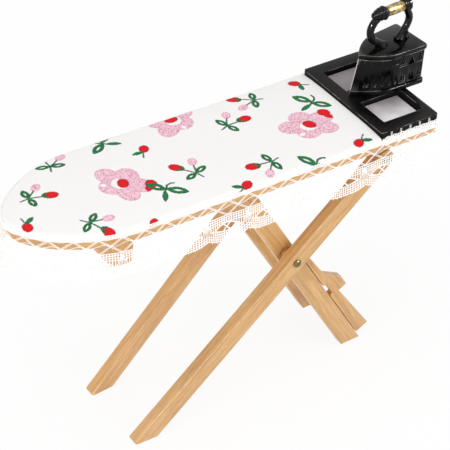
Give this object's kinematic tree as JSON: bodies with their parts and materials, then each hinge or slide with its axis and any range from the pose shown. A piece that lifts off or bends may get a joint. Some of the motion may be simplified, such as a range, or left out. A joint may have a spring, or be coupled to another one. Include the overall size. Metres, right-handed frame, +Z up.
{
  "type": "dollhouse ironing board",
  "caption": "Dollhouse ironing board with padded cloth top, lace edging, iron rest and lift-off charcoal iron, on crossed wooden legs that fold flat.",
  "frame": {"origin": "on the floor below the middle of the part's outline", "axes": "+X along the board towards the iron rest, +Y across it to the far side, +Z up from the floor"},
  "size_m": [0.1186, 0.038, 0.0922],
  "materials": {
    "varnished_wood": "clear satin varnish",
    "printed_cotton": "plain weave cotton with small printed flowers",
    "wadding": "soft wadding",
    "white_lining": "matte white sheet",
    "net_lace": "white net lace",
    "black_enamel": "satin black enamel on cast metal",
    "dark_steel": "dulled steel",
    "gold_lacquer": "aged gold lacquer"
  },
  "bodies": {
    "deck": {"deck_panel": "varnished_wood", "wadding_pad": "wadding", "cotton_cover": "printed_cotton", "lace_flounce": "net_lace", "iron_rest": "black_enamel", "rest_lining_near": "white_lining", "rest_lining_far": "white_lining", "nose_batten": "varnished_wood", "hinge_cleat_near": "varnished_wood", "hinge_cleat_far": "varnished_wood", "hinge_pin_near": "dark_steel", "hinge_pin_far": "dark_steel"},
    "outer_legs": {"outer_leg_near": "varnished_wood", "outer_leg_far": "varnished_wood", "pivot_pin_near": "dark_steel", "pivot_pin_far": "dark_steel", "pivot_washer_near": "dark_steel", "pivot_washer_far": "dark_steel"},
    "inner_legs": {"inner_leg_near": "varnished_wood", "inner_leg_far": "varnished_wood", "inner_top_rail": "varnished_wood", "foot_rail": "varnished_wood", "catch_bar": "varnished_wood"},
    "iron": {"iron_sole": "black_enamel", "iron_body": "black_enamel", "iron_lid": "black_enamel", "iron_post_front": "black_enamel", "iron_post_rear": "black_enamel", "iron_ferrule_front": "black_enamel", "iron_ferrule_rear": "black_enamel", "iron_grip": "gold_lacquer"}
  },
  "joints": [
    {"name": "fold", "type": "hinge", "parent": "deck", "child": "outer_legs", "pos_m": [0.038, 0, 0.0614], "axis": [0, 1, 0], "range_deg": [0, 38.6]},
    {"name": "cross", "type": "hinge", "parent": "outer_legs", "child": "inner_legs", "pos_m": [0.01299, 0, 0.03905], "axis": [0, 1, 0], "range_deg": [-92.5, 0]},
    {"name": "iron_lift", "type": "slide", "parent": "deck", "child": "iron", "axis": [0.0499, 0, 0.9988], "range_m": [0, 0.03]}
  ],
  "couplings": [
    {"joint": "cross", "follows": "fold", "ratio": -2.392}
  ]
}
